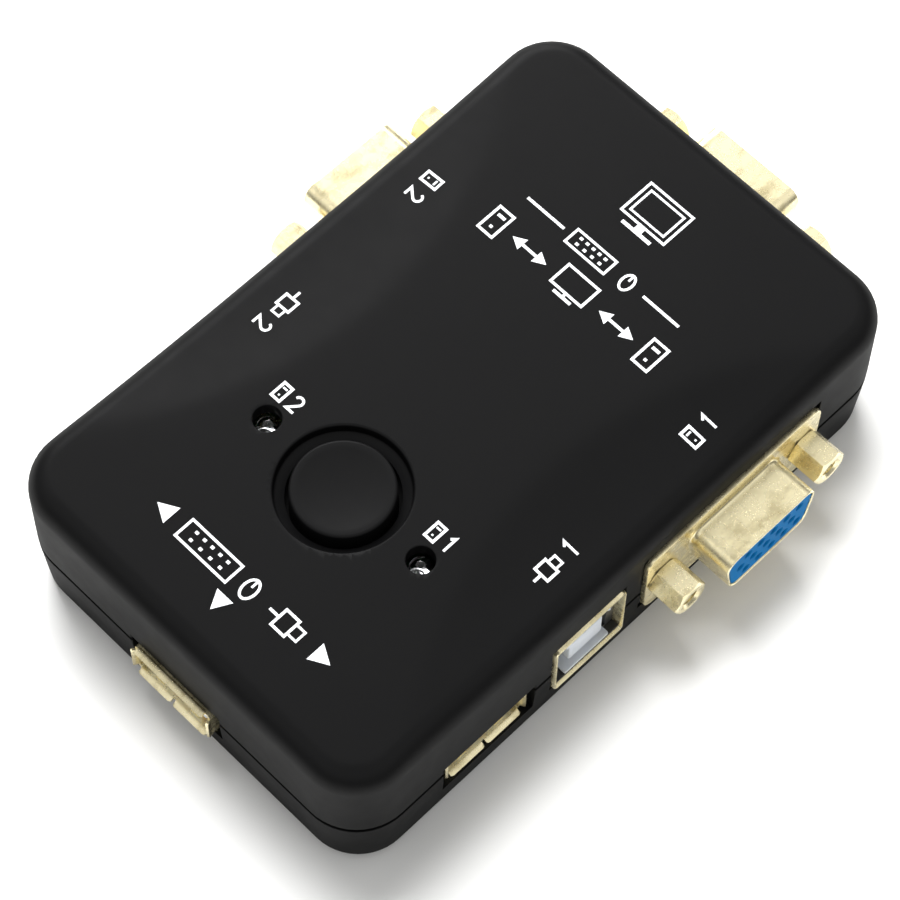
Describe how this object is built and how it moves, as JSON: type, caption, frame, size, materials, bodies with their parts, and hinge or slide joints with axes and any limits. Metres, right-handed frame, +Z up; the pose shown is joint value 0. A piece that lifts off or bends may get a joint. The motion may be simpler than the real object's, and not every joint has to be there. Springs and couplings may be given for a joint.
{
  "type": "kvm switch",
  "caption": "Low black box with rounded corners that shares a monitor, keyboard and mouse between computers, with a push button on top and sockets on all four sides.",
  "frame": {"origin": "centre of the flat underside, on the surface that the box rests on", "axes": "+Z up out of the top, +X towards the first computer's sockets, +Y towards the monitor socket, -Y towards the single front USB socket"},
  "size_m": [0.0742, 0.1021, 0.0246],
  "materials": {
    "case": "fine textured matt black",
    "button_cap": "smooth matt black",
    "plated_steel": "pale gold tin and nickel plate",
    "vga_blue": "moulded blue",
    "white_plastic": "moulded white",
    "board": "green solder mask",
    "led_lens": "water clear epoxy",
    "component_black": "moulded black",
    "component_grey": "moulded dark grey",
    "spring_steel": "drawn wire",
    "screw_steel": "black zinc"
  },
  "bodies": {
    "housing": {"bottom_shell": "case", "case_screw_1": "screw_steel", "case_screw_2": "screw_steel", "case_screw_3": "screw_steel", "case_screw_4": "screw_steel", "circuit_board": "board", "led_1": "led_lens", "led_2": "led_lens", "led_resistor_1": "component_black", "led_resistor_2": "component_black", "supply_capacitor": "component_grey", "supply_diode_1": "component_black", "supply_diode_2": "component_black", "switch_body": "component_grey", "switch_spring": "spring_steel", "top_shell": "case", "usb_a_front_shell": "plated_steel", "usb_a_front_tongue": "white_plastic", "usb_a_left_shell": "plated_steel", "usb_a_left_tongue": "white_plastic", "usb_a_right_shell": "plated_steel", "usb_a_right_tongue": "white_plastic", "usb_b_pc1_insulator": "white_plastic", "usb_b_pc1_shell": "plated_steel", "usb_b_pc2_insulator": "white_plastic", "usb_b_pc2_shell": "plated_steel", "vga_monitor_housing": "component_black", "vga_monitor_insulator": "vga_blue", "vga_monitor_jackscrew_a": "plated_steel", "vga_monitor_jackscrew_b": "plated_steel", "vga_monitor_shell": "plated_steel", "vga_pc1_housing": "component_black", "vga_pc1_insulator": "vga_blue", "vga_pc1_jackscrew_a": "plated_steel", "vga_pc1_jackscrew_b": "plated_steel", "vga_pc1_shell": "plated_steel", "vga_pc2_housing": "component_black", "vga_pc2_insulator": "vga_blue", "vga_pc2_jackscrew_a": "plated_steel", "vga_pc2_jackscrew_b": "plated_steel", "vga_pc2_shell": "plated_steel"},
    "button": {"select_button": "button_cap", "switch_plunger": "white_plastic"}
  },
  "joints": [
    {"name": "button_press", "type": "slide", "parent": "housing", "child": "button", "axis": [0, 0, -1], "range_m": [0, 0.0025], "stiffness_N_per_m": 600, "springref_m": -0.003, "deforming": ["switch_spring"]}
  ]
}
